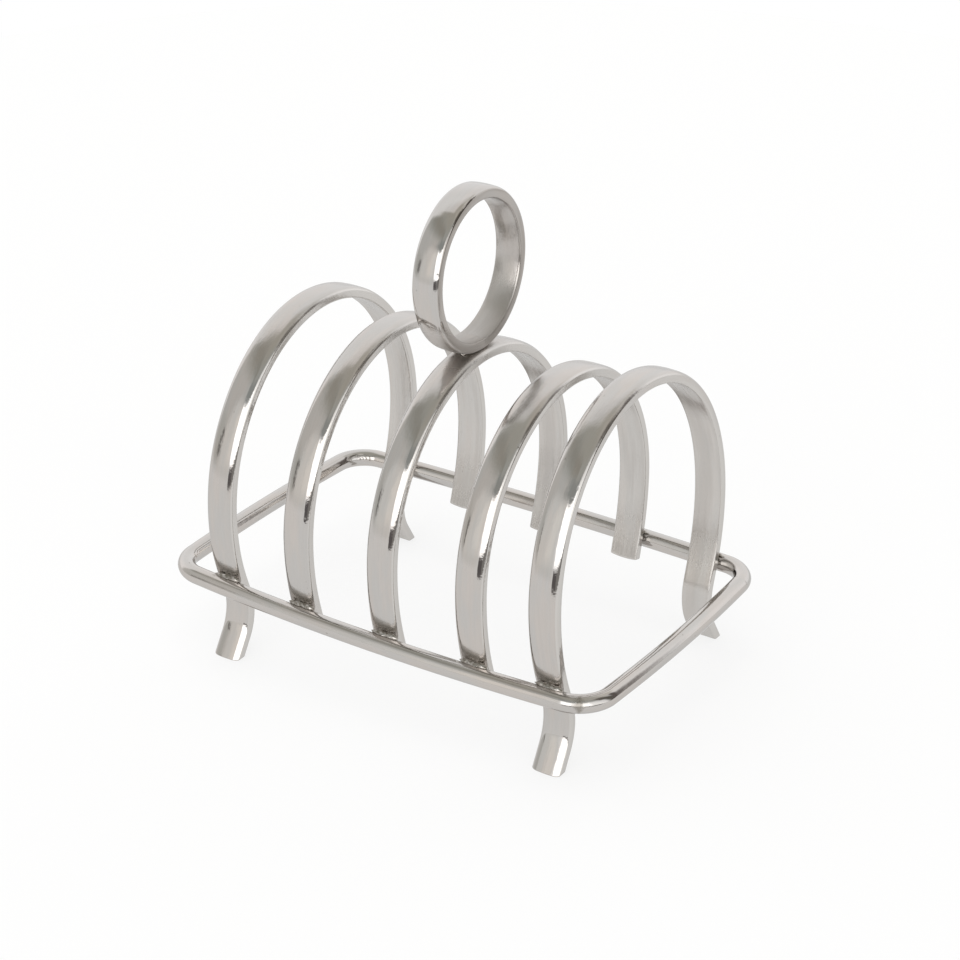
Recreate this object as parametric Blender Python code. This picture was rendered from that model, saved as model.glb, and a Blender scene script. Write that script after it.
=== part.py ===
"""Toast rack of welded stainless steel: five bent strip arches, a base wire and a ring handle.

Metres, +Z up. +X runs along the row of arches and +Y across them; the front is the -Y side. The
origin is on the table, under the middle of the base wire. Each arch is one bent strip. The two end
arches run on below the base wire and flare into four feet. The wire goes round the outside of
all ten legs and is welded to each, and the ring is welded on the middle arch's crown.
"""

from collections import namedtuple
from math import asin, cos, pi, radians, sin, sqrt, tan

import bmesh
import bpy
from mathutils import Matrix, Vector

# The gaps between pieces that touch on the real rack, and that a weld holds.
GAP = 0.0003
WIRE_GAP = 0.0002

# The strip that the arches are bent from: a flat inner face and a crowned outer one.
STRIP_WIDTH = 0.0085
STRIP_THICKNESS = 0.0032
STRIP_CROWN = 0.00045
OUTER_EDGE_RADIUS = 0.0010
INNER_EDGE_RADIUS = 0.0005

# The base wire. Its half length is at the corners, and its sides bow out from there.
WIRE_RADIUS = 0.0025
WIRE_HEIGHT = 0.0231
WIRE_HALF_LENGTH = 0.0670
WIRE_CORNER_RADIUS = 0.0080
WIRE_END_BOW = 0.0015
WIRE_SAG = 0.0006

# The two kinds of arch. Above the spring line an arch is half an ellipse, and below it each leg
# turns inwards on a round bend as far as the base wire.
Kind = namedtuple("Kind", "spring_height leg_bend_radius")
END = Kind(spring_height=0.0450, leg_bend_radius=0.0650)
INNER = Kind(spring_height=0.0434, leg_bend_radius=0.0720)
INNER_TAIL = 0.0049  # how far an inner arch's ends reach below the wire's centre

# Each end arch's legs run straight down to the foot bend, which turns them outwards.
FOOT_BEND_HEIGHT = 0.0183
FOOT_BEND_RADIUS = 0.0151
FOOT_FLARE = radians(31.3)

# Lean tips an arch's crown towards +X, and turn swings it about a vertical line, both as welded.
Arch = namedtuple("Arch", "name kind x top half_width lean turn")
ARCHES = (
    Arch("end_arch_left", END, -0.0498, 0.0930, 0.0431, radians(1.2), radians(0.5)),
    Arch("divider_arch_left", INNER, -0.0247, 0.0900, 0.0431, radians(0.8), radians(1.4)),
    Arch("centre_arch", INNER, 0.0028, 0.0892, 0.0434, radians(0.6), radians(1.2)),
    Arch("divider_arch_right", INNER, 0.0302, 0.0884, 0.0431, radians(-0.3), radians(1.5)),
    Arch("end_arch_right", END, 0.0536, 0.0926, 0.0428, radians(-1.4), radians(0.0)),
)

# The ring handle, a band rolled the same way round as the arches.
RING_RADIUS = 0.0219
RING_WIDTH = 0.0081
RING_THICKNESS = 0.0031
RING_OFFSET = -0.0005
RING_LEAN = radians(-1.1)
RING_TURN = radians(1.9)

# The weld beads: one above the wire at each leg, and one each side of the ring's seat.
BEAD_RADIUS = 0.00055
BEAD_HALF_LENGTH = 0.0032
RING_WELD_HALF_LENGTH = 0.0033
RING_WELD_NEAR = 0.0046
RING_WELD_FAR = 0.0075

CROWN_STEPS = 18
LEG_STEPS = 4
FOOT_STEPS = 5
CORNER_STEPS = 6
SIDE_STEPS = 14
WIRE_END_STEPS = 8
RING_STEPS = 44


def clear_scene():
    for old in list(bpy.data.objects):
        bpy.data.objects.remove(old, do_unlink=True)


def steel(name, colour, roughness):
    """A bare steel finish: polished where the roughness is low."""
    material = bpy.data.materials.new(name)
    material.use_nodes = True
    shader = material.node_tree.nodes["Principled BSDF"]
    shader.inputs["Base Color"].default_value = (*colour, 1.0)
    shader.inputs["Metallic"].default_value = 1.0
    shader.inputs["Roughness"].default_value = roughness
    material.diffuse_color = (*colour, 1.0)
    return material


def add_part(name, data, colour, roughness, parent, location=(0.0, 0.0, 0.0)):
    """Puts a piece in the scene, with a finish of its own."""
    part = bpy.data.objects.new(name, data)
    data.materials.append(steel(name + "_finish", colour, roughness))
    bpy.context.scene.collection.objects.link(part)
    part.parent = parent
    part.location = location
    return part


def finish_mesh(bm, name):
    """The bmesh as a mesh whose rounded faces are shaded smooth."""
    bmesh.ops.recalc_face_normals(bm, faces=bm.faces[:])
    mesh = bpy.data.meshes.new(name)
    bm.to_mesh(mesh)
    bm.free()
    mesh.shade_smooth()
    mesh.set_sharp_from_angle(angle=radians(38))
    return mesh


def band_section(width, thickness):
    """(across, outward) points of a band: flat inside, crowned outside, with all edges rounded."""
    half_width, half_thickness = 0.5 * width, 0.5 * thickness
    edges = (
        (1, -1, INNER_EDGE_RADIUS, 2, 1.5 * pi),
        (1, 1, OUTER_EDGE_RADIUS, 3, 0.0),
        (-1, 1, OUTER_EDGE_RADIUS, 3, 0.5 * pi),
        (-1, -1, INNER_EDGE_RADIUS, 2, pi),
    )
    points = []
    for side, face, radius, count, start in edges:
        for step in range(count):
            angle = start + 0.5 * pi * step / (count - 1)
            across = side * (half_width - radius) + radius * cos(angle)
            outward = face * (half_thickness - radius) + radius * sin(angle)
            if face > 0:
                outward -= STRIP_CROWN * (across / half_width) ** 2
            points.append((across, outward))
        if (side, face) == (1, 1):
            points.append((0.0, half_thickness))
    return points


def outward_normals(line, closed):
    """The outward normal at each (y, z) point of a line that runs clockwise, seen from -X."""
    count = len(line)
    normals = []
    for i in range(count):
        before = line[(i - 1) % count] if closed else line[max(i - 1, 0)]
        after = line[(i + 1) % count] if closed else line[min(i + 1, count - 1)]
        along = Vector(after) - Vector(before)
        normals.append(Vector((-along.y, along.x)).normalized())
    return normals


def sweep_band(line, section, closed, lean, turn, pivot_height):
    """Sweeps a section along a (y, z) line. Leaning and turning shift it along X only, so a height
    stays a height."""
    bm = bmesh.new()
    rings = []
    for point, normal in zip(line, outward_normals(line, closed)):
        ring = []
        for across, outward in section:
            y, z = Vector(point) + outward * normal
            x = across + (z - pivot_height) * tan(lean) - y * tan(turn)
            ring.append(bm.verts.new((x, y, z)))
        rings.append(ring)
    count = len(section)
    for i in range(len(rings) if closed else len(rings) - 1):
        here, there = rings[i], rings[(i + 1) % len(rings)]
        for k in range(count):
            bm.faces.new((here[k], here[(k + 1) % count], there[(k + 1) % count], there[k]))
    if not closed:
        bm.faces.new(rings[0])
        bm.faces.new(rings[-1])
    return bm


def leg_angle(kind):
    """How far a leg has turned inwards, from upright, where it meets the wire."""
    return asin((kind.spring_height - WIRE_HEIGHT) / kind.leg_bend_radius)


def leg_at_wire(arch):
    """How far from the middle of the rack a leg's centre line is at the wire's height."""
    return arch.half_width - arch.kind.leg_bend_radius * (1.0 - cos(leg_angle(arch.kind)))


def half_arch_line(arch):
    """(y, z) points of a strip's centre line, from the crown down to one end."""
    kind = arch.kind
    points = []
    for step in range(CROWN_STEPS + 1):
        angle = 0.5 * pi * step / CROWN_STEPS
        height = kind.spring_height + (arch.top - kind.spring_height) * cos(angle)
        points.append((arch.half_width * sin(angle), height))
    leg = leg_angle(kind)
    for step in range(1, LEG_STEPS + 1):
        angle = leg * step / LEG_STEPS
        y = arch.half_width - kind.leg_bend_radius * (1.0 - cos(angle))
        points.append((y, kind.spring_height - kind.leg_bend_radius * sin(angle)))
    y, z = points[-1]
    if kind is INNER:
        points.append((y - INNER_TAIL * tan(leg), z - INNER_TAIL))
        return points
    y -= (z - FOOT_BEND_HEIGHT) * tan(leg)
    centre_y = y + FOOT_BEND_RADIUS * cos(leg)
    centre_z = FOOT_BEND_HEIGHT - FOOT_BEND_RADIUS * sin(leg)
    for step in range(FOOT_STEPS + 1):
        angle = -leg + (leg + FOOT_FLARE) * step / FOOT_STEPS
        y = centre_y - FOOT_BEND_RADIUS * cos(angle)
        points.append((y, centre_z - FOOT_BEND_RADIUS * sin(angle)))
    y, z = points[-1]
    below_table = -STRIP_THICKNESS
    points.append((y + (z - below_table) * tan(FOOT_FLARE), below_table))
    return points


def cut_flat_at_table(bm):
    """Cuts off what is below the table and closes the feet with flat soles."""
    cut = bmesh.ops.bisect_plane(
        bm,
        geom=bm.verts[:] + bm.edges[:] + bm.faces[:],
        plane_co=(0.0, 0.0, 0.0),
        plane_no=(0.0, 0.0, -1.0),
        clear_outer=True,
    )
    edges = [item for item in cut["geom_cut"] if isinstance(item, bmesh.types.BMEdge)]
    bmesh.ops.holes_fill(bm, edges=edges, sides=0)


def make_arch(arch, parent):
    half = half_arch_line(arch)
    line = [(-y, z) for y, z in reversed(half)] + half[1:]
    section = band_section(STRIP_WIDTH, STRIP_THICKNESS)
    bm = sweep_band(line, section, False, arch.lean, arch.turn, WIRE_HEIGHT)
    if arch.kind is END:
        cut_flat_at_table(bm)
    mesh = finish_mesh(bm, arch.name)
    return add_part(arch.name, mesh, (0.66, 0.64, 0.61), 0.16, parent, (arch.x, 0.0, 0.0))


def touching_half_width(arch):
    """The wire's distance from the middle of the rack where it just clears an arch's leg."""
    reach = 0.5 * STRIP_THICKNESS + WIRE_GAP + WIRE_RADIUS
    return leg_at_wire(arch) + reach / cos(leg_angle(arch.kind))


def wire_side_bow():
    """(half width at the corners, bow of the long sides), so that the wire touches the outermost
    arch and the middle one."""
    middle, end = ARCHES[2], ARCHES[-1]
    fall = touching_half_width(middle) - touching_half_width(end)
    bow = fall / ((end.x**2 - middle.x**2) / WIRE_HALF_LENGTH**2)
    half_width = touching_half_width(middle) - bow * (1.0 - (middle.x / WIRE_HALF_LENGTH) ** 2)
    return half_width, bow


def wire_point(x, y, half_width, bow):
    """A point of the plain rounded rectangle, moved out and down by the bow of its sides."""
    along = max(0.0, 1.0 - (x / WIRE_HALF_LENGTH) ** 2)
    across = max(0.0, 1.0 - (y / half_width) ** 2)
    side = 1.0 if y > 0.0 else -1.0
    end = 1.0 if x > 0.0 else -1.0
    return Vector((x + end * WIRE_END_BOW * across, y + side * bow * along, WIRE_HEIGHT - WIRE_SAG * along))


def base_wire_line():
    """Centre line of the closed wire, anticlockwise seen from above."""
    half_width, bow = wire_side_bow()
    corner_x = WIRE_HALF_LENGTH - WIRE_CORNER_RADIUS
    corner_y = half_width - WIRE_CORNER_RADIUS
    turns = ((1, 1, SIDE_STEPS), (-1, 1, WIRE_END_STEPS), (-1, -1, SIDE_STEPS), (1, -1, WIRE_END_STEPS))
    flat = []
    for quarter, (end, side, steps_after) in enumerate(turns):
        for step in range(CORNER_STEPS + 1):
            angle = 0.5 * pi * (quarter + step / CORNER_STEPS)
            x = end * corner_x + WIRE_CORNER_RADIUS * cos(angle)
            flat.append((x, side * corner_y + WIRE_CORNER_RADIUS * sin(angle)))
        next_end, next_side, _ = turns[(quarter + 1) % 4]
        out = 0.5 * pi * (quarter + 1)
        start = Vector(flat[-1])
        stop = Vector((next_end * corner_x, next_side * corner_y))
        stop += WIRE_CORNER_RADIUS * Vector((cos(out), sin(out)))
        for step in range(1, steps_after):
            flat.append(tuple(start.lerp(stop, step / steps_after)))
    return [wire_point(x, y, half_width, bow) for x, y in flat]


def make_base_wire(parent):
    curve = bpy.data.curves.new("base_wire", "CURVE")
    curve.dimensions = "3D"
    curve.bevel_depth = WIRE_RADIUS
    curve.bevel_resolution = 4
    line = base_wire_line()
    spline = curve.splines.new("POLY")
    spline.points.add(len(line) - 1)
    for place, point in zip(spline.points, line):
        place.co = (*point, 1.0)
    spline.use_cyclic_u = True
    spline.use_smooth = True
    return add_part("base_wire", curve, (0.64, 0.62, 0.58), 0.14, parent)


def ring_centre():
    middle = ARCHES[2]
    seat = middle.top + 0.5 * STRIP_THICKNESS + GAP
    x = middle.x + (middle.top - WIRE_HEIGHT) * tan(middle.lean) + RING_OFFSET
    return Vector((x, 0.0, seat + RING_RADIUS))


def make_ring_handle(parent):
    middle_radius = RING_RADIUS - 0.5 * RING_THICKNESS
    turns = [2.0 * pi * step / RING_STEPS for step in range(RING_STEPS)]
    line = [(-middle_radius * cos(turn), middle_radius * sin(turn)) for turn in turns]
    section = band_section(RING_WIDTH, RING_THICKNESS)
    bm = sweep_band(line, section, True, RING_LEAN, RING_TURN, -RING_RADIUS)
    mesh = finish_mesh(bm, "ring_handle")
    return add_part("ring_handle", mesh, (0.66, 0.64, 0.61), 0.18, parent, ring_centre())


def make_wire_welds(arch, parent):
    """The beads that join one arch to the wire, in the groove above the wire at each leg."""
    half_width, bow = wire_side_bow()
    leg = leg_angle(arch.kind)
    for side, side_name in ((-1, "front"), (1, "back")):
        x = arch.x - side * half_width * tan(arch.turn)
        wire = wire_point(x, side * half_width, half_width, bow)
        leg_face = leg_at_wire(arch) + 0.5 * STRIP_THICKNESS / cos(leg) - (WIRE_HEIGHT - wire.z) * tan(leg)
        inwards = (abs(wire.y) - leg_face) * cos(leg) - BEAD_RADIUS - GAP
        upwards = sqrt((WIRE_RADIUS + GAP + BEAD_RADIUS) ** 2 - inwards**2)
        y = abs(wire.y) - inwards * cos(leg) + upwards * sin(leg)
        z = wire.z + inwards * sin(leg) + upwards * cos(leg)
        bm = bmesh.new()
        stretch = Matrix.Diagonal((BEAD_HALF_LENGTH, BEAD_RADIUS, BEAD_RADIUS, 1.0))
        on_side = Matrix.Rotation(0.5 * pi, 4, "Y")
        bmesh.ops.create_uvsphere(bm, u_segments=8, v_segments=6, radius=1.0, matrix=stretch @ on_side)
        name = f"weld_{arch.name}_{side_name}"
        mesh = finish_mesh(bm, name)
        add_part(name, mesh, (0.42, 0.40, 0.37), 0.34, parent, (x, side * y, z))


def make_ring_welds(parent):
    """The two fillets in the grooves between the ring and the middle arch's crown."""
    middle = ARCHES[2]
    centre = ring_centre()
    ring_reach = RING_RADIUS + GAP
    crown_half_width = middle.half_width + 0.5 * STRIP_THICKNESS + GAP
    crown_rise = middle.top - middle.kind.spring_height + 0.5 * STRIP_THICKNESS + GAP
    for side, side_name in ((-1, "front"), (1, "back")):
        outline = []
        for y in (RING_WELD_NEAR, RING_WELD_FAR):
            ring_side = centre.z - sqrt(ring_reach**2 - y**2)
            arch_side = middle.kind.spring_height + crown_rise * sqrt(1.0 - (y / crown_half_width) ** 2)
            outline.append((y, arch_side, ring_side))
        (near, near_low, near_high), (far, far_low, far_high) = outline
        corners = ((near, near_low), (far, far_low), (far, far_high), (near, near_high))
        bm = bmesh.new()
        ends = []
        for x in (-RING_WELD_HALF_LENGTH, RING_WELD_HALF_LENGTH):
            ends.append([bm.verts.new((x, side * y, z)) for y, z in corners])
        left, right = ends
        bm.faces.new(left)
        bm.faces.new(right)
        for k in range(4):
            bm.faces.new((left[k], left[(k + 1) % 4], right[(k + 1) % 4], right[k]))
        name = f"weld_ring_handle_{side_name}"
        mesh = finish_mesh(bm, name)
        add_part(name, mesh, (0.42, 0.40, 0.37), 0.34, parent, (centre.x, 0.0, 0.0))


def main():
    clear_scene()
    rack = bpy.data.objects.new("toast_rack", None)
    bpy.context.scene.collection.objects.link(rack)
    for arch in ARCHES:
        make_arch(arch, rack)
        make_wire_welds(arch, rack)
    make_base_wire(rack)
    make_ring_handle(rack)
    make_ring_welds(rack)


main()
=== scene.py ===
"""The looks of the welded toast rack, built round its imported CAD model.

Metres, +X along the row of arches, +Y across them towards the back, +Z up. Every arch, the base
wire, the ring and each weld gets a fine mesh of its own in place of its faceted CAD solid. Where
things are comes from the CAD model: its boxes, and the tilt of each arch as its points show it.
"""

from math import asin, cos, pi, radians, sin, tan

import bpy
import numpy as np
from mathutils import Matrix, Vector, noise


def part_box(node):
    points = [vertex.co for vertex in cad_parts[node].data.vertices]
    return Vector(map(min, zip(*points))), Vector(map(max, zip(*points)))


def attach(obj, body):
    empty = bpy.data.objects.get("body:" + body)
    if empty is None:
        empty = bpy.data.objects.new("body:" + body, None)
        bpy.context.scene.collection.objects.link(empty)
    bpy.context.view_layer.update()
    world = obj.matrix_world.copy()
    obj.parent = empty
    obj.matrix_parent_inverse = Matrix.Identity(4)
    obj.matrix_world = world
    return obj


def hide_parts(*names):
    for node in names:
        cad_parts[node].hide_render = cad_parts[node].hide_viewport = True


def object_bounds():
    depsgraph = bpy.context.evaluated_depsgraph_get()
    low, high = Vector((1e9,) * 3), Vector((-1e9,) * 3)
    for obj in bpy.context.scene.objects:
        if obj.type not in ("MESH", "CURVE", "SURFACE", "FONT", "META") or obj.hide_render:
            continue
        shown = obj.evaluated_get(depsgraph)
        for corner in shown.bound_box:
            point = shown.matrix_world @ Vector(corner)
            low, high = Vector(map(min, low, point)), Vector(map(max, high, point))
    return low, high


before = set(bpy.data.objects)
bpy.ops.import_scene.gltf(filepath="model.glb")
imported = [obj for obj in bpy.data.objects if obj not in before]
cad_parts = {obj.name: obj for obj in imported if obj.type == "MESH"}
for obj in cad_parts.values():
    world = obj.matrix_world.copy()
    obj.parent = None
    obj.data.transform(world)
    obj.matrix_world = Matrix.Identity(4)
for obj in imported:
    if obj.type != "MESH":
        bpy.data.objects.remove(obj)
cad_low, cad_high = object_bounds()

MM = 0.001

# The strip that the arches are bent from, and the ring's band. Their outer faces are crowned, and
# fall away to the sides in edges that are (this wide, this deep). Only the ring is crowned inside.
STRIP_WIDTH = 8.5 * MM
STRIP_THICKNESS = 3.2 * MM
RING_WIDTH = 8.1 * MM
RING_THICKNESS = 3.1 * MM
CROWN = 0.32 * MM
RING_INNER_CROWN = 0.36 * MM
OUTER_EDGE = 1.9 * MM, 0.92 * MM
RING_OUTER_EDGE = 1.5 * MM, 0.75 * MM
INNER_EDGE = 0.5 * MM, 0.5 * MM

# The arches' outlines, as in the CAD model.
END_SPRING_HEIGHT, END_LEG_BEND = 45.0 * MM, 65.0 * MM
INNER_SPRING_HEIGHT, INNER_LEG_BEND = 43.4 * MM, 72.0 * MM
FOOT_BEND_HEIGHT = 18.3 * MM
FOOT_BEND_RADIUS = 15.1 * MM
FOOT_FLARE = radians(31.3)

# The strips' cut ends: rounded edges and corners, and the bow of the legs that are cut square. Over
# TIP_LENGTH at each end, the sections slide along the strip to meet the cut.
TIP_BEVEL = 0.25 * MM
TIP_CORNER_RADIUS = 0.35 * MM
TIP_BOW = 0.35 * MM
TIP_LENGTH = 8.0 * MM

# The base wire, and the mark of its butt weld: how far round the corner it is, its reach along the
# wire, the side of the wire that it is on, and how fast it fades out round the wire.
WIRE_RADIUS = 2.5 * MM
WIRE_HEIGHT = 23.1 * MM
WIRE_CORNER_RADIUS = 8.0 * MM
WIRE_END_BOW = 1.5 * MM
WIRE_SIDE_BOW = 2.6 * MM
WIRE_SAG = 0.6 * MM
WIRE_JOINT_TURN = radians(30.0)
WIRE_JOINT_REACH = 0.9 * MM
WIRE_JOINT_FACE = radians(25.0)
WIRE_JOINT_FADE = 2.2 * MM

# How far the weld drew the ring's seat down into the crown of the middle arch.
RING_SINK = 0.55 * MM

# How finely the pieces are meshed: the spacing along them, and the steps round a section.
BAND_STEP = 0.4 * MM
WIRE_STEP = 0.4 * MM
WIRE_SIDES = 40
INNER_EDGE_STEPS, OUTER_EDGE_STEPS = 6, 14
SIDE_STEPS, OUTER_FACE_STEPS, INNER_FACE_STEPS = 4, 14, 16
TIP_RINGS = 5

# How many points the stretches of a centre line have before it is spaced evenly.
CROWN_POINTS, LEG_POINTS, TAIL_POINTS = 6000, 2000, 400
SHANK_POINTS, FOOT_POINTS, TOE_POINTS = 300, 1500, 600
WIRE_CORNER_POINTS = 801
WIRE_DENSE_STEP = 0.03 * MM

# How uneven bending and polishing left the strips: twist, and change of the outer face's crown.
TWIST, TWIST_LENGTH = radians(1.1), 24.0 * MM
CROWN_CHANGE, CROWN_CHANGE_LENGTH = 0.35, 15.0 * MM

# Where the buffing wheel hardly reached: more and more towards the arches' tops, from this far below
# them, and towards the ring's seat, between these shares of the ring's radius below its middle.
ARCH_UNBUFFED = 17.0 * MM
RING_UNBUFFED = 0.35, 0.60

# Where in the noise the uneven changes are read: rows this far apart, all in one plane.
WAVER_ROWS, WAVER_PLANE = 3.7, 0.5

# How far apart along the grain each piece is cut.
GRAIN_SHIFT = 0.4

WELDS = [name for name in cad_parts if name.startswith("weld_")]


# ---------------------------------------------------------------- shader nodes

class Graph:
    """Adds nodes to the node tree of a material or a world."""

    def __init__(self, tree):
        self.tree = tree

    def node(self, kind, inputs=None, **settings):
        """A node. Each input is a plain value or another node's output socket."""
        made = self.tree.nodes.new("ShaderNode" + kind)
        for name, value in settings.items():
            setattr(made, name, value)
        for name, value in (inputs or {}).items():
            if isinstance(value, bpy.types.NodeSocket):
                self.tree.links.new(value, made.inputs[name])
            else:
                made.inputs[name].default_value = value
        return made

    def math(self, operation, a, b=0.0, c=0.0):
        return self.node("Math", {0: a, 1: b, 2: c}, operation=operation).outputs[0]

    def add(self, a, b):
        return self.math("ADD", a, b)

    def times(self, a, b):
        return self.math("MULTIPLY", a, b)

    def ramp(self, value, start, stop, low=0.0, high=1.0):
        """low below start, high above stop, and an S curve between them."""
        inputs = {"Value": value, "From Min": start, "From Max": stop, "To Min": low, "To Max": high}
        return self.node("MapRange", inputs, interpolation_type="SMOOTHSTEP").outputs["Result"]

    def mix(self, factor, a, b):
        """The colour a where factor is 0, and b where it is 1."""
        made = self.node("Mix", data_type="RGBA")
        for socket, value in ((made.inputs[0], factor), (made.inputs[6], a), (made.inputs[7], b)):
            if isinstance(value, bpy.types.NodeSocket):
                self.tree.links.new(value, socket)
            else:
                socket.default_value = value
        return made.outputs[2]

    def scaled(self, vector, factors):
        inputs = {0: vector, 1: factors}
        return self.node("VectorMath", inputs, operation="MULTIPLY").outputs[0]

    def noise(self, vector, scale, detail=2.0, roughness=0.5, distortion=0.0):
        inputs = {
            "Vector": vector, "Scale": scale, "Detail": detail,
            "Roughness": roughness, "Distortion": distortion,
        }
        return self.node("TexNoise", inputs).outputs["Fac"]

    def pattern(self, place, per_mm, detail=2.0, roughness=0.5, distortion=0.0):
        """Noise that changes this often per millimetre (along, across, out of) a strip."""
        return self.noise(self.scaled(place, per_mm), 1.0, detail, roughness, distortion)


def rgb(red, green, blue):
    return (red, green, blue, 1.0)


# ---------------------------------------------------------------- materials

# Stainless steel, as a metal's colour. It is a little warmer in some patches than in others, and the
# arches' satin inside is lighter, partly a painted sheen.
WARM_STEEL = rgb(0.540, 0.504, 0.475)
COOL_STEEL = rgb(0.515, 0.498, 0.480)
GREY_STEEL = rgb(0.420, 0.395, 0.370)
# The satin inside's own tone, made lighter as a painted sheen so that the inner faces reflect brighter.
SATIN_AND_PAINTED_SHEEN_STEEL = rgb(0.625, 0.605, 0.580)
SIDE_STEEL = rgb(0.585, 0.565, 0.540)
DARK_STEEL = rgb(0.310, 0.285, 0.260)
SCALE_STEEL = rgb(0.250, 0.228, 0.198)
DIRT = rgb(0.160, 0.140, 0.120)
EDGE_TINT = rgb(0.80, 0.80, 0.80)

# Where the inside of a band starts and is complete, in millimetres out from its middle line, and
# its worn edges and its sides, in millimetres across from it.
INSIDE_ZONE = -0.9, -1.5
EDGE_ZONE = 2.2, 3.6
SIDE_ZONE = 3.70, 4.00

# How near a weld its scale, and the dull zone round it, start and are complete, in millimetres. The
# surface's ripples take up to ZONE_RAGGEDNESS off the distance, which makes the limits ragged.
SCALE_ZONE = -0.1, -1.5
DULL_ZONE = 6.5, 0.5
ZONE_RAGGEDNESS = 1.9

# Pits are cells of a Voronoi pattern: how many there are per pit size along, across and out of the
# strip, and where a pit starts and is complete, from its cell's middle.
PIT_CELLS = 0.30, 0.5, 0.5
PIT_ZONE = 0.34, 0.10


def steel_base(name):
    """A metal material, its graph and its shader."""
    material = bpy.data.materials.new(name)
    material.use_nodes = True
    material.node_tree.nodes.clear()
    graph = Graph(material.node_tree)
    shader = graph.node("BsdfPrincipled", {"Metallic": 1.0, "Specular Tint": EDGE_TINT})
    graph.node("OutputMaterial", {"Surface": shader.outputs[0]})
    return material, graph, shader


def wire_up(graph, shader, colour, roughness, height):
    """Connects a steel's colour, its roughness, and its relief in millimetres."""
    graph.tree.links.new(colour, shader.inputs["Base Color"])
    graph.tree.links.new(roughness, shader.inputs["Roughness"])
    bump = graph.node("Bump", {"Height": height, "Strength": 1.0, "Distance": MM})
    graph.tree.links.new(bump.outputs[0], shader.inputs["Normal"])


def strip_place(graph):
    """Millimetres along, across and out of the strip or wire."""
    strip = graph.node("Attribute", attribute_name="strip").outputs["Vector"]
    return graph.scaled(strip, (1.0 / MM, 1.0 / MM, 1.0 / MM))


def steel_colour(graph, place):
    """Patches of warmer and cooler steel, a few millimetres across, and fine grain in them."""
    patches = graph.ramp(graph.pattern(place, (0.06, 0.30, 0.30), 3.0), 0.36, 0.64)
    colour = graph.mix(patches, WARM_STEEL, COOL_STEEL)
    grain = graph.pattern(place, (0.16, 1.7, 1.7), 4.0, 0.62)
    return graph.mix(graph.ramp(grain, 0.30, 0.72, 0.0, 0.13), colour, GREY_STEEL)


def pits(graph, place, size, share, seed):
    """1 in the middle of sparse small marks, drawn out lengthwise, and 0 between them."""
    moved = graph.node("VectorMath", {0: place, 1: (seed, seed * 0.7, 0.0)}, operation="ADD").outputs[0]
    spread = graph.scaled(moved, tuple(cells / size for cells in PIT_CELLS))
    cells = graph.node("TexVoronoi", {"Vector": spread, "Scale": 1.0}).outputs
    lottery = graph.node("SeparateColor", {0: cells["Color"]}).outputs[0]
    chosen = graph.ramp(lottery, 1.0 - share, 1.001 - share)
    return graph.times(graph.ramp(cells["Distance"], *PIT_ZONE), chosen)


def near_welds(graph, mottle):
    """1 where weld scale was left, and 1 in the wider zone that no buffing wheel reaches."""
    distance = graph.node("Attribute", attribute_name="from_weld").outputs["Fac"]
    uneven = graph.math("MULTIPLY_ADD", mottle, -ZONE_RAGGEDNESS, graph.times(distance, 1.0 / MM))
    return graph.ramp(uneven, *SCALE_ZONE), graph.ramp(uneven, *DULL_ZONE)


class Band:
    """The zones and the patterns of a band's steel, as node outputs between 0 and 1."""

    def __init__(self, graph):
        self.graph = graph
        self.place = strip_place(graph)
        parts = graph.node("SeparateXYZ", {0: self.place}).outputs
        off_middle = graph.math("ABSOLUTE", parts["Y"])
        self.inside = graph.ramp(parts["Z"], *INSIDE_ZONE)
        self.edge = graph.ramp(off_middle, *EDGE_ZONE)
        self.sides = graph.ramp(off_middle, *SIDE_ZONE)
        self.unbuffed = graph.node("Attribute", attribute_name="unbuffed").outputs["Fac"]
        self.lines = graph.pattern(self.place, (0.025, 1.6, 1.6), 3.0, 0.6)
        self.streaks = graph.pattern(self.place, (0.045, 0.80, 0.80), 2.0, 0.5, 0.4)
        self.clouds = graph.pattern(self.place, (0.15, 0.26, 0.26), 4.0, 0.6)
        self.ripple = graph.pattern(self.place, (0.55, 0.75, 0.75))
        self.burr = graph.pattern(self.place, (1.5, 1.1, 1.1))
        self.brushed = graph.pattern(self.place, (0.024, 0.30, 0.30), 3.0, 0.55)
        self.chatter = graph.pattern(self.place, (1.9, 0.35, 0.35), 1.0)
        self.nicks = graph.times(pits(graph, self.place, 0.9, 0.10, 3.0), self.edge)
        self.specks = pits(graph, self.place, 0.40, 0.007, 11.0)
        self.scale, self.dull = near_welds(graph, self.ripple)


def band_colour(band, inner_colour, side_colour):
    """Patchy steel, with colours of its own on the sides and a colour inside (on the arches lightened as
    a painted sheen), specks, and weld scale.
    """
    graph = band.graph
    colour = steel_colour(graph, band.place)
    # Inside: its own colour, which on the arches is partly a painted sheen.
    colour = graph.mix(graph.times(band.inside, 0.45), colour, inner_colour)
    patches = graph.times(graph.ramp(band.brushed, 0.40, 0.66, 0.0, 0.34), band.inside)
    colour = graph.mix(patches, colour, GREY_STEEL)
    patches = graph.times(graph.ramp(band.brushed, 0.36, 0.62, 0.40, 0.95), band.sides)
    colour = graph.mix(patches, colour, side_colour)
    colour = graph.mix(graph.times(band.specks, 0.40), colour, DIRT)
    return graph.mix(graph.times(band.scale, 0.32), colour, SCALE_STEEL)


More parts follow.
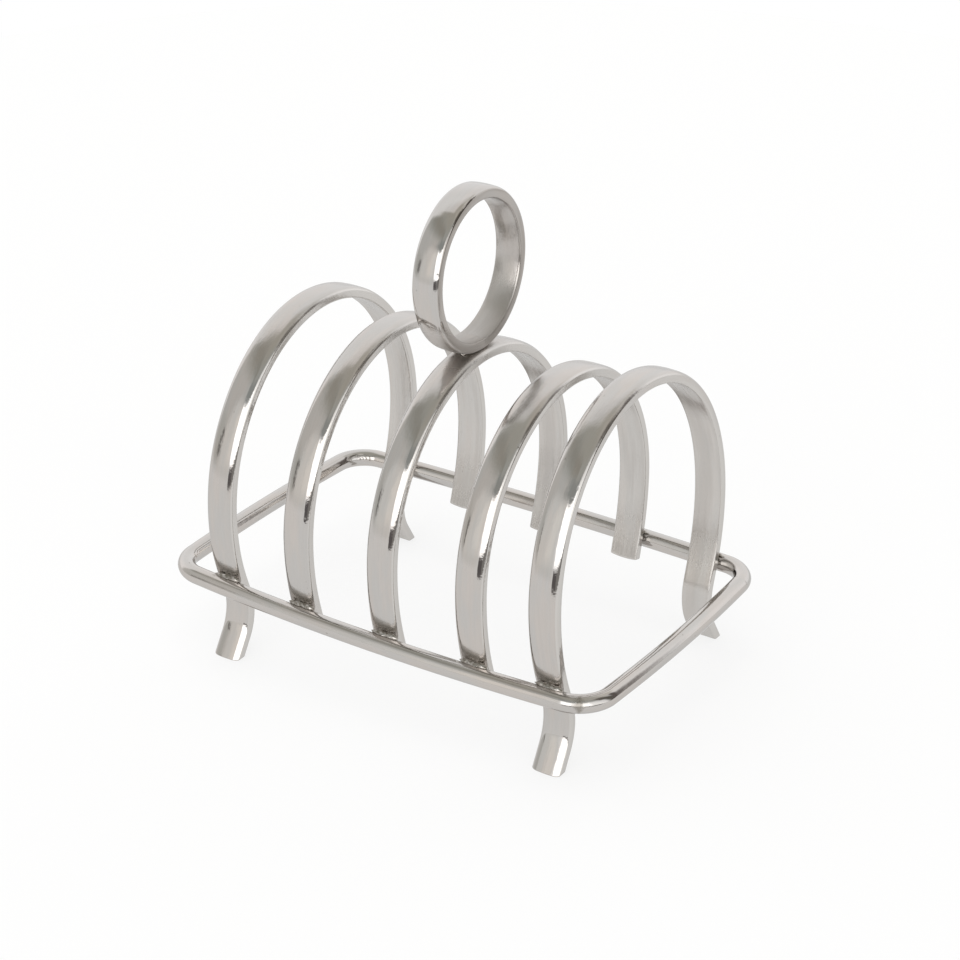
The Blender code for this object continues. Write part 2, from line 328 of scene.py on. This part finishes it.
def band_roughness(band, unbuffed_outside):
    """Polished outside and satin inside, and rougher where it is unbuffed, dull or scaled."""
    graph = band.graph
    polished = graph.ramp(band.clouds, 0.34, 0.70, 0.038, 0.095)
    satin = graph.ramp(band.lines, 0.30, 0.72, 0.17, 0.27)
    roughness = graph.node("Mix", {0: band.inside, 2: polished, 3: satin}).outputs[0]
    rougher = graph.node("Mix", {0: band.inside, 2: unbuffed_outside, 3: 0.17}).outputs[0]
    roughness = graph.math("MULTIPLY_ADD", band.unbuffed, rougher, roughness)
    roughness = graph.math("MULTIPLY_ADD", band.dull, 0.13, roughness)
    return graph.math("MULTIPLY_ADD", band.scale, 0.15, roughness)


def band_relief(band, waviness, inner_waviness):
    """The height of the surface in millimetres: polishing waves, and finer layers over them."""
    graph = band.graph
    layers = (
        (band.ripple, graph.math("MULTIPLY_ADD", band.unbuffed, 0.006, 0.0055)),
        (band.burr, graph.times(band.edge, 0.016)),
        (band.clouds, graph.times(band.inside, inner_waviness)),
        (band.streaks, 0.22 * waviness),
        (band.lines, graph.add(0.0020, graph.times(band.inside, 0.0020))),
        (band.chatter, graph.add(0.0015, graph.times(band.inside, -0.0011))),
        (band.nicks, -0.04),
        (graph.times(band.scale, band.ripple), 0.08),
    )
    height = graph.times(band.clouds, graph.math("MULTIPLY_ADD", band.unbuffed, waviness, waviness))
    for pattern, depth in layers:
        height = graph.add(height, graph.times(pattern, depth))
    return height


def band_steel(name, waviness, inner_waviness, inner_colour, side_colour, unbuffed_outside):
    """Polished outside and along the edges, satin inside, and dull and scaled near the welds."""
    material, graph, shader = steel_base(name)
    band = Band(graph)
    colour = band_colour(band, inner_colour, side_colour)
    roughness = band_roughness(band, unbuffed_outside)
    wire_up(graph, shader, colour, roughness, band_relief(band, waviness, inner_waviness))
    return material


def wire_steel():
    """Bright drawn wire with faint die lines along it, dull and scaled near the welds."""
    material, graph, shader = steel_base("base_wire_steel")
    place = strip_place(graph)
    lines = graph.pattern(place, (0.03, 2.2, 2.2), 3.0, 0.6)
    clouds = graph.pattern(place, (0.22, 0.45, 0.45), 3.0)
    ripple = graph.pattern(place, (0.9, 0.9, 0.9), 3.0)
    specks = pits(graph, place, 0.45, 0.010, 5.0)
    scale, dull = near_welds(graph, ripple)
    colour = graph.mix(graph.times(specks, 0.40), steel_colour(graph, place), DIRT)
    colour = graph.mix(graph.times(scale, 0.80), colour, SCALE_STEEL)
    roughness = graph.ramp(clouds, 0.34, 0.70, 0.075, 0.15)
    roughness = graph.math("MULTIPLY_ADD", dull, 0.05, roughness)
    roughness = graph.math("MULTIPLY_ADD", scale, 0.15, roughness)
    height = graph.add(graph.times(clouds, 0.026), graph.times(lines, 0.0035))
    height = graph.add(height, graph.times(graph.times(scale, ripple), 0.08))
    wire_up(graph, shader, colour, roughness, height)
    return material


def weld_steel():
    """Weld metal as it froze: rippled, patchy, dark where scale stayed on it."""
    material, graph, shader = steel_base("weld_steel")
    place = graph.scaled(graph.node("TexCoord").outputs["Object"], (1.0 / MM, 1.0 / MM, 1.0 / MM))
    patches = graph.noise(place, 0.9, 3.0, 0.6)
    ripple = graph.noise(graph.scaled(place, (1.0, 0.7, 0.7)), 2.6, 2.0, 0.5)
    colour = graph.mix(graph.ramp(patches, 0.42, 0.62), GREY_STEEL, SCALE_STEEL)
    roughness = graph.ramp(patches, 0.40, 0.65, 0.07, 0.24)
    height = graph.add(graph.times(ripple, 0.022), graph.times(patches, 0.045))
    wire_up(graph, shader, colour, roughness, height)
    return material


# ---------------------------------------------------------------- meshes

def node_points(name):
    """The CAD node's own points, in metres, in the shared frame."""
    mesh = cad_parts[name].data
    flat = np.empty(3 * len(mesh.vertices))
    mesh.vertices.foreach_get("co", flat)
    return flat.reshape(-1, 3)


def tilt_of(name, height):
    """(x at that height, run of x per height, run of x per y) of a band that leans and turns."""
    points = node_points(name)
    terms = np.column_stack([np.ones(len(points)), points[:, 2] - height, points[:, 1]])
    return np.linalg.lstsq(terms, points[:, 0], rcond=None)[0]


def weld_distance(points):
    """How far each point is from the nearest weld, as the CAD model places them."""
    nearest = np.full(points.shape[:-1], np.inf)
    for name in WELDS:
        low, high = (np.array(corner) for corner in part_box(name))
        beyond = np.clip(np.maximum(low - points, points - high), 0.0, None)
        nearest = np.minimum(nearest, np.linalg.norm(beyond, axis=-1))
    return nearest


def full_turn(steps):
    """The angles of even steps once round."""
    return 2.0 * pi * np.arange(steps) / steps


def stacked(*parts):
    """Arrays of one shape, or that stretch to it, joined into vectors."""
    return np.stack(np.broadcast_arrays(*parts), axis=-1)


def waver(run, length, seed):
    """A slow uneven change along a piece, within 1 each way."""
    row = WAVER_ROWS * seed
    return np.array([noise.noise(Vector((at / length, row, WAVER_PLANE))) for at in run])


def add_piece(name, points, faces, node, material, attributes):
    """A smooth mesh piece that stands for a CAD node."""
    mesh = bpy.data.meshes.new(name)
    mesh.from_pydata(points.reshape(-1, 3).tolist(), [], faces)
    mesh.shade_smooth()
    attributes = {"from_weld": weld_distance(points), **attributes}
    for label, values in attributes.items():
        is_vector = values.ndim == points.ndim
        layer = mesh.attributes.new(label, "FLOAT_VECTOR" if is_vector else "FLOAT", "POINT")
        layer.data.foreach_set("vector" if is_vector else "value", values.ravel())
    mesh.materials.append(material)
    piece = bpy.data.objects.new(name, mesh)
    bpy.context.scene.collection.objects.link(piece)
    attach(piece, "root")
    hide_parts(node)
    return piece


def tube_faces(rows, columns, closed):
    """Quads of a tube of rings, and its two ends where it isn't closed."""
    faces = []
    for i in range(rows if closed else rows - 1):
        here, there = i * columns, ((i + 1) % rows) * columns
        for k in range(columns):
            after = (k + 1) % columns
            faces.append((here + k, there + k, there + after, here + after))
    if not closed:
        faces.append(tuple(range(columns)))
        faces.append(tuple(range(rows * columns - 1, (rows - 1) * columns - 1, -1)))
    return faces


def rounded_corner(side, face, width, thickness, edge, steps):
    """A band's corner, as (across, outward) points in order round the band."""
    start = {(1, -1): 1.5, (1, 1): 0.0, (-1, 1): 0.5, (-1, -1): 1.0}[(side, face)] * pi
    turns = start + 0.5 * pi * np.arange(steps + 1) / steps
    across = side * (0.5 * width - edge[0]) + edge[0] * np.cos(turns)
    return np.column_stack([across, face * (0.5 * thickness - edge[1]) + edge[1] * np.sin(turns)])


def band_outline(width, thickness, outer_edge, inner_crown=0.0):
    """Fine (across, outward) outline of a band, crowned outside."""
    corners = (
        rounded_corner(1, -1, width, thickness, INNER_EDGE, INNER_EDGE_STEPS),
        rounded_corner(1, 1, width, thickness, outer_edge, OUTER_EDGE_STEPS),
        rounded_corner(-1, 1, width, thickness, outer_edge, OUTER_EDGE_STEPS),
        rounded_corner(-1, -1, width, thickness, INNER_EDGE, INNER_EDGE_STEPS),
    )
    flats = SIDE_STEPS, OUTER_FACE_STEPS, SIDE_STEPS, INNER_FACE_STEPS
    outline = []
    for corner, following, steps in zip(corners, corners[1:] + corners[:1], flats):
        outline.append(corner)
        share = np.arange(1, steps)[:, None] / steps
        outline.append(corner[-1] + share * (following[0] - corner[-1]))
    outline = np.vstack(outline)
    off_middle = (outline[:, 0] / (0.5 * width)) ** 2
    outer = outline[:, 1] > 0.0
    outline[:, 1] -= np.where(outer, CROWN * off_middle, inner_crown * (1.0 - off_middle))
    return outline


def evenly(points, spacing, closed=False):
    """A dense line respaced evenly, with its unit tangents and the length run at each point."""
    if closed:
        points = np.vstack([points, points[:1]])
    legs = np.linalg.norm(np.diff(points, axis=0), axis=1)
    run = np.concatenate([[0.0], np.cumsum(legs)])
    stations = np.linspace(0.0, run[-1], int(run[-1] / spacing), endpoint=not closed)
    if closed:
        slopes = np.gradient(np.vstack([points[-3:-1], points, points[1:3]]), axis=0)[2:-2]
    else:
        slopes = np.gradient(points, axis=0)
    columns = range(points.shape[1])
    even = np.column_stack([np.interp(stations, run, points[:, k]) for k in columns])
    tangents = np.column_stack([np.interp(stations, run, slopes[:, k]) for k in columns])
    return even, tangents / np.linalg.norm(tangents, axis=1)[:, None], stations


# ---------------------------------------------------------------- arches

def leg_end(y, z, lean_in):
    """An end arch's leg from (y, z) down to the floor: straight, bent outwards, and straight."""
    shank = np.linspace(0.0, z - FOOT_BEND_HEIGHT, SHANK_POINTS)[1:]
    straight = np.column_stack([y - shank * tan(lean_in), z - shank])
    centre_y = straight[-1, 0] + FOOT_BEND_RADIUS * cos(lean_in)
    centre_z = FOOT_BEND_HEIGHT - FOOT_BEND_RADIUS * sin(lean_in)
    turn = np.linspace(-lean_in, FOOT_FLARE, FOOT_POINTS)[1:]
    foot = np.column_stack([
        centre_y - FOOT_BEND_RADIUS * np.cos(turn),
        centre_z - FOOT_BEND_RADIUS * np.sin(turn),
    ])
    y, z = foot[-1]
    toe = np.linspace(0.0, z, TOE_POINTS)[1:]
    return np.vstack([straight, foot, np.column_stack([y + toe * tan(FOOT_FLARE), z - toe])])


def half_arch(half_width, top, is_end, low):
    """Dense (y, z) points of a strip's centre line, from the crown down to one end."""
    spring, bend = INNER_SPRING_HEIGHT, INNER_LEG_BEND
    if is_end:
        spring, bend = END_SPRING_HEIGHT, END_LEG_BEND
    turn = np.linspace(0.0, 0.5 * pi, CROWN_POINTS)
    crown = np.column_stack([half_width * np.sin(turn), spring + (top - spring) * np.cos(turn)])
    lean_in = asin((spring - WIRE_HEIGHT) / bend)
    turn = np.linspace(0.0, lean_in, LEG_POINTS)[1:]
    leg = np.column_stack([half_width - bend * (1.0 - np.cos(turn)), spring - bend * np.sin(turn)])
    y, z = leg[-1]
    if is_end:
        return np.vstack([crown, leg, leg_end(y, z, lean_in)])
    end = low + 0.5 * STRIP_THICKNESS * sin(lean_in)
    tail = np.linspace(0.0, z - end, TAIL_POINTS)[1:]
    return np.vstack([crown, leg, np.column_stack([y - tail * tan(lean_in), z - tail])])


def with_tips(line, tangents, run):
    """A line's sections, with more at each end, and the inset of their outline that rounds the tip."""
    turns = np.arange(1, TIP_RINGS + 1) / TIP_RINGS * 0.5 * pi
    shrink = TIP_BEVEL * (1.0 - np.cos(turns))
    back = TIP_BEVEL * (1.0 - np.sin(turns))
    length = run[-1]
    keep = (run > TIP_BEVEL) & (run < length - TIP_BEVEL)
    stations = np.concatenate([back[::-1], run[keep], length - back])
    inset = np.concatenate([shrink[::-1], np.zeros(keep.sum()), shrink])
    places = np.column_stack([np.interp(stations, run, line[:, k]) for k in (0, 1)])
    slopes = np.column_stack([np.interp(stations, run, tangents[:, k]) for k in (0, 1)])
    return places, slopes, stations, inset


def strip_section(run, inset, order):
    """(across, outward) of each point of a strip, with its twist and its uneven crown."""
    outline = band_outline(STRIP_WIDTH, STRIP_THICKNESS, OUTER_EDGE)
    across = outline[None, :, 0] * (1.0 - inset / (0.5 * STRIP_WIDTH))[:, None]
    outward = outline[None, :, 1] * (1.0 - inset / (0.5 * STRIP_THICKNESS))[:, None]
    outward = outward + across * TWIST * waver(run, TWIST_LENGTH, order)[:, None]
    flatter = CROWN_CHANGE * CROWN * waver(run, CROWN_CHANGE_LENGTH, -order)[:, None]
    outward = outward + flatter * (outline[None, :, 1] > 0.0) * (across / (0.5 * STRIP_WIDTH)) ** 2
    return across, outward


def tip_slide(across, near_end, bow):
    """How far points slide along the strip towards its end, to round and to bow the cut there."""
    flat = TIP_CORNER_RADIUS - (0.5 * STRIP_WIDTH - np.abs(across))
    drop = TIP_CORNER_RADIUS - np.sqrt(TIP_CORNER_RADIUS**2 - np.clip(flat, 0.0, TIP_CORNER_RADIUS) ** 2)
    return -(drop + bow * (across / (0.5 * STRIP_WIDTH)) ** 2) * near_end ** 2


def make_arch(name, material, order):
    """An arch. An end arch's toes are cut level with the floor, and the other arches' legs square."""
    low, high = (np.array(corner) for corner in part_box(name))
    is_end = low[2] < 1.0 * MM
    x, lean, turn = tilt_of(name, WIRE_HEIGHT)
    half_width = 0.5 * (high[1] - low[1]) - 0.5 * STRIP_THICKNESS
    half = half_arch(half_width, high[2] - 0.5 * STRIP_THICKNESS, is_end, low[2])
    line = np.vstack([half[::-1] * (-1.0, 1.0), half[1:]])
    line, tangents, run, inset = with_tips(*evenly(line, BAND_STEP))
    normals = np.column_stack([-tangents[:, 1], tangents[:, 0]])
    across, outward = strip_section(run, inset, order)
    rows, columns = across.shape
    to_end = np.minimum(run, run[-1] - run)[:, None]
    near_end = np.clip(1.0 - to_end / TIP_LENGTH, 0.0, 1.0)
    ends = np.where(np.arange(rows) < rows // 2, -1.0, 1.0)[:, None]
    slide = tip_slide(across, near_end, 0.0 if is_end else TIP_BOW)
    if is_end:
        slide = slide - near_end * normals[:, 1:] * outward / (tangents[:, 1:] * ends)
    y = line[:, :1] + normals[:, :1] * outward + ends * slide * tangents[:, :1]
    z = line[:, 1:] + normals[:, 1:] * outward + ends * slide * tangents[:, 1:]
    points = stacked(x + across + lean * (z - WIRE_HEIGHT) + turn * y, y, z)
    strip = stacked(run[:, None] + GRAIN_SHIFT * order, across, outward)
    unbuffed = np.clip((z - high[2] + ARCH_UNBUFFED) / ARCH_UNBUFFED, 0.0, 1.0)
    faces = tube_faces(rows, columns, closed=False)
    attributes = {"strip": strip, "unbuffed": unbuffed}
    return add_piece(name + "_steel", points, faces, name, material, attributes)


# ---------------------------------------------------------------- base wire

def wire_line(half_length, half_width):
    """A rounded rectangle whose sides bow outwards and whose long sides sag, spaced evenly."""
    line = []
    for quarter, (end, side) in enumerate(((1, 1), (-1, 1), (-1, -1), (1, -1))):
        turns = 0.5 * pi * (quarter + np.arange(WIRE_CORNER_POINTS) / (WIRE_CORNER_POINTS - 1))
        line.append(np.column_stack([
            end * (half_length - WIRE_CORNER_RADIUS) + WIRE_CORNER_RADIUS * np.cos(turns),
            side * (half_width - WIRE_CORNER_RADIUS) + WIRE_CORNER_RADIUS * np.sin(turns),
        ]))
    flat, _, _ = evenly(np.vstack(line), WIRE_DENSE_STEP, closed=True)
    along_side = np.clip(1.0 - (flat[:, 0] / half_length) ** 2, 0.0, None)
    along_end = np.clip(1.0 - (flat[:, 1] / half_width) ** 2, 0.0, None)
    line = np.column_stack([
        flat[:, 0] + np.sign(flat[:, 0]) * WIRE_END_BOW * along_end,
        flat[:, 1] + np.sign(flat[:, 1]) * WIRE_SIDE_BOW * along_side,
        WIRE_HEIGHT - WIRE_SAG * along_side,
    ])
    return evenly(line, WIRE_STEP, closed=True)


def distance_from_joint(line, run, turns, half_length, half_width):
    """How far each point is from the mark of the wire's butt weld, on its front right corner."""
    from_side = WIRE_CORNER_RADIUS * (1.0 - sin(WIRE_JOINT_TURN))
    from_front = WIRE_CORNER_RADIUS * (1.0 - cos(WIRE_JOINT_TURN))
    joint = np.array([half_length - from_side, from_front - half_width])
    joint_run = run[np.argmin(np.linalg.norm(line[:, :2] - joint, axis=1))]
    along = np.abs(run - joint_run) - WIRE_JOINT_REACH
    return along[:, None] + WIRE_JOINT_FADE * (1.0 - np.cos(turns - WIRE_JOINT_FACE))


def make_base_wire(material):
    """The round wire, swept along its line. Its section's turns start outside and go upwards."""
    low, high = (np.array(corner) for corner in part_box("base_wire"))
    half_length = high[0] - WIRE_RADIUS - WIRE_END_BOW
    half_width = high[1] - WIRE_RADIUS - WIRE_SIDE_BOW
    line, tangents, run = wire_line(half_length, half_width)
    sideways = np.cross(tangents, (0.0, 0.0, 1.0))
    sideways /= np.linalg.norm(sideways, axis=1)[:, None]
    upward = np.cross(sideways, tangents)
    turns = full_turn(WIRE_SIDES)
    aside, above = WIRE_RADIUS * np.cos(turns), WIRE_RADIUS * np.sin(turns)
    points = line[:, None] + aside[:, None] * sideways[:, None] + above[:, None] * upward[:, None]
    strip = stacked(run[:, None], aside, above)
    from_joint = distance_from_joint(line, run, turns, half_length, half_width)
    attributes = {"strip": strip, "from_weld": np.minimum(weld_distance(points), from_joint)}
    faces = tube_faces(len(line), WIRE_SIDES, closed=True)
    return add_piece("base_wire_steel", points, faces, "base_wire", material, attributes)


# ---------------------------------------------------------------- ring handle

def make_ring(material):
    """The ring, crowned inside and out. Its grain starts at its seat and runs once round."""
    low, high = (np.array(corner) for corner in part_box("ring_handle"))
    low[2] -= RING_SINK
    middle = 0.5 * (low[2] + high[2])
    x, lean, turn = tilt_of("ring_handle", middle)
    radius = 0.5 * (high[2] - low[2])
    rows = int(2.0 * pi * radius / BAND_STEP)
    turns = full_turn(rows) - 0.5 * pi
    outline = band_outline(RING_WIDTH, RING_THICKNESS, RING_OUTER_EDGE, RING_INNER_CROWN)
    columns = len(outline)
    reach = radius - 0.5 * RING_THICKNESS + outline[:, 1]
    y = -np.cos(turns)[:, None] * reach
    z = middle + np.sin(turns)[:, None] * reach
    points = stacked(x + outline[:, 0] + lean * (z - middle) + turn * y, y, z)
    strip = stacked((turns * radius)[:, None], outline[:, 0], outline[:, 1])
    faces = tube_faces(rows, columns, closed=True)
    start, stop = RING_UNBUFFED
    unbuffed = np.clip(((middle - z) / radius - start) / (stop - start), 0.0, 1.0)
    attributes = {"strip": strip, "unbuffed": unbuffed}
    return add_piece("ring_handle_steel", points, faces, "ring_handle", material, attributes)


# ---------------------------------------------------------------- welds

# A bead's move from the CAD bead's middle along, out and up, its half sizes likewise, and its slope.
# The last drop's place and length are shares of a bead's half length.
LEG_BEAD = (0.8 * MM, -0.45 * MM, -0.68 * MM), (4.3 * MM, 0.85 * MM, 0.42 * MM), radians(-38.0)
SEAT_BEAD = (0.0, -2.60 * MM, -0.30 * MM), (3.2 * MM, 2.2 * MM, 0.80 * MM), 0.0
BEAD_RINGS, BEAD_SIDES = 56, 28
LUMP_SIZE, LUMP_TURN, LUMP_DEPTH = 1.1 * MM, 0.9, 0.45
LUMP_SEED_STEP = 5.3
LAST_DROP_PLACE, LAST_DROP_LENGTH, LAST_DROP_SWELL = 0.66, 0.26, 0.36
LAST_DROP_TILT = radians(-20.0)


def bead_lumps(along, turns, seed):
    """How lumpy a bead is at each point, within 1 each way."""
    return np.array([[
        noise.noise(Vector((at / LUMP_SIZE, LUMP_TURN * cos(turn) + seed, LUMP_TURN * sin(turn))))
        for turn in turns
    ] for at in along])


def make_weld(name, material, seed):
    """A lumpy bead along X, sunk into the metal on both sides. A leg's has a smooth drop near its end."""
    low, high = (np.array(corner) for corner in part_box(name))
    middle = 0.5 * (low + high)
    side = 1.0 if middle[1] > 0.0 else -1.0
    is_seat = "ring" in name
    move, (half_length, half_out, half_up), slope = SEAT_BEAD if is_seat else LEG_BEAD
    stations = -np.cos(pi * (np.arange(BEAD_RINGS) + 0.5) / BEAD_RINGS)
    turns = full_turn(BEAD_SIDES)
    along = half_length * stations
    lumps = bead_lumps(along, turns, seed)
    last_drop = np.exp(-(((stations - LAST_DROP_PLACE) / LAST_DROP_LENGTH) ** 2))[:, None]
    last_drop *= 0.0 if is_seat else 1.0
    girth = (1.0 - np.abs(stations) ** 3)[:, None]
    girth = girth * (1.0 + LUMP_DEPTH * lumps * (1.0 - last_drop) + LAST_DROP_SWELL * last_drop)
    flat, rise = half_out * girth * np.cos(turns), half_up * girth * np.sin(turns)
    slope = slope + LAST_DROP_TILT * last_drop
    out = move[1] + flat * np.cos(slope) - rise * np.sin(slope)
    up = move[2] + flat * np.sin(slope) + rise * np.cos(slope)
    points = middle + stacked(move[0] + along[:, None], side * out, up)
    if side > 0.0:
        # A back bead is mirrored, so its rings go in reverse, which keeps its faces outwards.
        points = points[::-1]
    faces = tube_faces(BEAD_RINGS, BEAD_SIDES, closed=False)
    return add_piece(name + "_bead", points, faces, name, material, {})


# ---------------------------------------------------------------- the rack

ARCHES = ("end_arch_left", "divider_arch_left", "centre_arch", "divider_arch_right", "end_arch_right")


def make_rack():
    """All pieces. The waviness of a band's steel is in millimetres."""
    # The arches' inner colour is partly a painted sheen, lighter than the satin steel itself.
    arch_steel = band_steel(
        "arch_steel", waviness=0.040, inner_waviness=0.010,
        inner_colour=SATIN_AND_PAINTED_SHEEN_STEEL, side_colour=SIDE_STEEL, unbuffed_outside=0.17,
    )
    for order, arch in enumerate(ARCHES, start=1):
        make_arch(arch, arch_steel, order)
    make_base_wire(wire_steel())
    make_ring(band_steel(
        "ring_steel", waviness=0.022, inner_waviness=0.060,
        inner_colour=GREY_STEEL, side_colour=DARK_STEEL, unbuffed_outside=0.32,
    ))
    bead_steel = weld_steel()
    for order, weld in enumerate(WELDS):
        make_weld(weld, bead_steel, LUMP_SEED_STEP * order)


# ---------------------------------------------------------------- studio

# The camera, in metres, with its lens and sensor in millimetres. Its aim is AIM_DROP below the
# rack's middle, and from there moved within the view.
CAMERA_AZIMUTH = radians(33.58)
CAMERA_ELEVATION = radians(26.83)
CAMERA_DISTANCE = 0.657
CAMERA_LENS = 91.64
CAMERA_SENSOR = 36.0
CAMERA_CLIP = 0.02, 20.0
AIM_RIGHT, AIM_UP = 4.7 * MM, -7.3 * MM
AIM_DROP = 8.65 * MM

# What the steel reflects: soft-edged panels, laid over each other in this order. Degrees, with
# azimuth 0 in front (-Y) and 90 at +X. A panel: colour, azimuths, elevations, the softness of its
# upright and level edges, and how far its azimuths shift per degree of elevation.
WALL = rgb(1.29, 1.29, 1.30)
PANELS = (
    (rgb(1.16, 1.16, 1.16), (-400, 400), (30, 100), 1, 26, 0.0),
    (rgb(0.97, 0.96, 0.95), (-400, 400), (57, 100), 1, 12, 0.0),
    (rgb(0.82, 0.81, 0.77), (142, 400), (48, 100), 14, 10, 0.0),
    (rgb(1.00, 1.00, 1.00), (-400, 400), (-100, 0), 1, 4, 0.0),
    (rgb(0.74, 0.74, 0.72), (-80, -20), (-5, 60), 12, 10, 0.0),
    (rgb(0.94, 0.94, 0.92), (-40, -20), (-5, 34), 8, 10, 0.0),
    (rgb(1.10, 1.08, 1.04), (-29, -21), (2, 31), 5, 10, 0.0),
    (rgb(0.68, 0.68, 0.65), (-58, -42), (-2, 20), 8, 6, 0.0),
    (rgb(0.26, 0.25, 0.24), (-43.5, -40), (1, 15), 2, 5, 0.0),
    (rgb(0.60, 0.59, 0.54), (-400, 400), (69, 100), 1, 12, 0.0),
    (rgb(0.54, 0.53, 0.48), (-96, 70), (56, 100), 8, 10, 0.0),
    (rgb(0.64, 0.62, 0.57), (70, 136), (50, 100), 16, 10, 0.0),
    (rgb(0.53, 0.54, 0.51), (-84, 90), (45, 62), 10, 10, 0.0),
    (rgb(0.43, 0.42, 0.38), (-84, -18), (50, 60), 14, 8, 0.0),
    (rgb(0.42, 0.44, 0.43), (-30, 44), (37, 50), 10, 6, 0.0),
    (rgb(0.22, 0.20, 0.18), (86, 116), (38, 64), 8, 10, 0.0),
    (rgb(0.17, 0.16, 0.14), (107, 134), (-12, 52), 12, 12, -0.28),
    (rgb(0.17, 0.15, 0.14), (115, 134), (-13, 50), 10, 12, 0.28),
    (rgb(1.50, 1.50, 1.48), (50, 99), (2, 36), 10, 6, -0.9),
    (rgb(2.40, 2.40, 2.40), (-11, 64), (2, 35), 3, 4, -0.22),
    (rgb(0.30, 0.29, 0.28), (-10, 86), (-12, 0), 6, 3, 0.0),
    (rgb(0.16, 0.15, 0.15), (-11, 22), (-11, -1), 6, 3, 0.0),
)

# What the camera sees behind the floor.
BACKGROUND = rgb(1.0, 1.0, 1.0)


def panel_mask(graph, azimuth, elevation, panel):
    """1 in the directions, in degrees, that a panel covers, and 0 outside its soft edges."""
    _, (left, right), (bottom, top), soft_upright, soft_level, shift = panel
    azimuth = graph.math("MULTIPLY_ADD", elevation, -shift, azimuth)
    edges = (
        (azimuth, left - 0.5 * soft_upright, left + 0.5 * soft_upright),
        (azimuth, right + 0.5 * soft_upright, right - 0.5 * soft_upright),
        (elevation, bottom - 0.5 * soft_level, bottom + 0.5 * soft_level),
        (elevation, top + 0.5 * soft_level, top - 0.5 * soft_level),
    )
    mask = 1.0
    for value, start, stop in edges:
        mask = graph.times(graph.ramp(value, start, stop), mask)
    return mask


def make_world():
    """The studio: panels that the steel mirrors, in front of a plain background."""
    world = bpy.data.worlds.new("studio")
    world.use_nodes = True
    world.node_tree.nodes.clear()
    graph = Graph(world.node_tree)
    direction = graph.node("TexCoord").outputs["Generated"]
    parts = graph.node("SeparateXYZ", {0: direction}).outputs
    azimuth = graph.math("DEGREES", graph.math("ARCTAN2", parts["X"], graph.times(parts["Y"], -1.0)))
    elevation = graph.math("DEGREES", graph.math("ARCSINE", parts["Z"]))
    colour = WALL
    for panel in PANELS:
        colour = graph.mix(panel_mask(graph, azimuth, elevation, panel), colour, panel[0])
    seen = graph.node("LightPath").outputs["Is Camera Ray"]
    colour = graph.mix(seen, colour, BACKGROUND)
    background = graph.node("Background", {"Color": colour, "Strength": 1.0})
    graph.node("OutputWorld", {"Surface": background.outputs[0]})
    bpy.context.scene.world = world


# The floor, moved away from the camera, and the wide soft sun that lights it.
FLOOR_RADIUS = 0.45
FLOOR_SIDES = 96
FLOOR_SHIFT = 0.20
FLOOR_COLOUR = rgb(0.17, 0.17, 0.17)
FLOOR_ROUGHNESS = 0.9
FLOOR_GLOW = 0.775
FILL_STRENGTH = 1.35
FILL_ANGLE = radians(70.0)
FILL_TILT = radians(12.0), radians(-14.0), 0.0


def make_floor():
    """A pale round table top lit from within, so that the rack's shadow on it stays faint."""
    toward_camera = Vector((sin(CAMERA_AZIMUTH), -cos(CAMERA_AZIMUTH), 0.0))
    mesh = bpy.data.meshes.new("floor")
    centre = -FLOOR_SHIFT * toward_camera
    points = [
        (centre.x + FLOOR_RADIUS * cos(turn), centre.y + FLOOR_RADIUS * sin(turn), 0.0)
        for turn in full_turn(FLOOR_SIDES)
    ]
    mesh.from_pydata(points, [], [tuple(range(FLOOR_SIDES))])
    material = bpy.data.materials.new("pale_floor")
    material.use_nodes = True
    shader = material.node_tree.nodes["Principled BSDF"]
    shader.inputs["Base Color"].default_value = FLOOR_COLOUR
    shader.inputs["Roughness"].default_value = FLOOR_ROUGHNESS
    shader.inputs["Specular IOR Level"].default_value = 0.0
    shader.inputs["Emission Color"].default_value = rgb(1.0, 1.0, 1.0)
    shader.inputs["Emission Strength"].default_value = FLOOR_GLOW
    mesh.materials.append(material)
    floor = bpy.data.objects.new("floor", mesh)
    bpy.context.scene.collection.objects.link(floor)


def make_fill_light():
    """Soft light from above for the floor. The steel shows the studio's panels, not this light."""
    data = bpy.data.lights.new("fill", "SUN")
    data.energy = FILL_STRENGTH
    data.angle = FILL_ANGLE
    light = bpy.data.objects.new("fill", data)
    light.rotation_euler = FILL_TILT
    light.visible_glossy = False
    bpy.context.scene.collection.objects.link(light)


def make_camera():
    """The camera of the reference view, aimed a little off the rack's middle."""
    middle = Vector((0.0, 0.0, 0.5 * (cad_low[2] + cad_high[2]) - AIM_DROP))
    back = Vector((
        sin(CAMERA_AZIMUTH) * cos(CAMERA_ELEVATION),
        -cos(CAMERA_AZIMUTH) * cos(CAMERA_ELEVATION),
        sin(CAMERA_ELEVATION),
    ))
    right = Vector((cos(CAMERA_AZIMUTH), sin(CAMERA_AZIMUTH), 0.0))
    aim = middle + AIM_RIGHT * right + AIM_UP * back.cross(right)
    data = bpy.data.cameras.new("camera")
    data.lens = CAMERA_LENS
    data.sensor_width = CAMERA_SENSOR
    data.clip_start, data.clip_end = CAMERA_CLIP
    camera = bpy.data.objects.new("camera", data)
    camera.location = aim + CAMERA_DISTANCE * back
    camera.rotation_euler = back.to_track_quat("Z", "Y").to_euler()
    bpy.context.scene.collection.objects.link(camera)
    bpy.context.scene.camera = camera


make_rack()
make_world()
make_floor()
make_fill_light()
make_camera()
bpy.context.scene.view_settings.view_transform = "Standard"
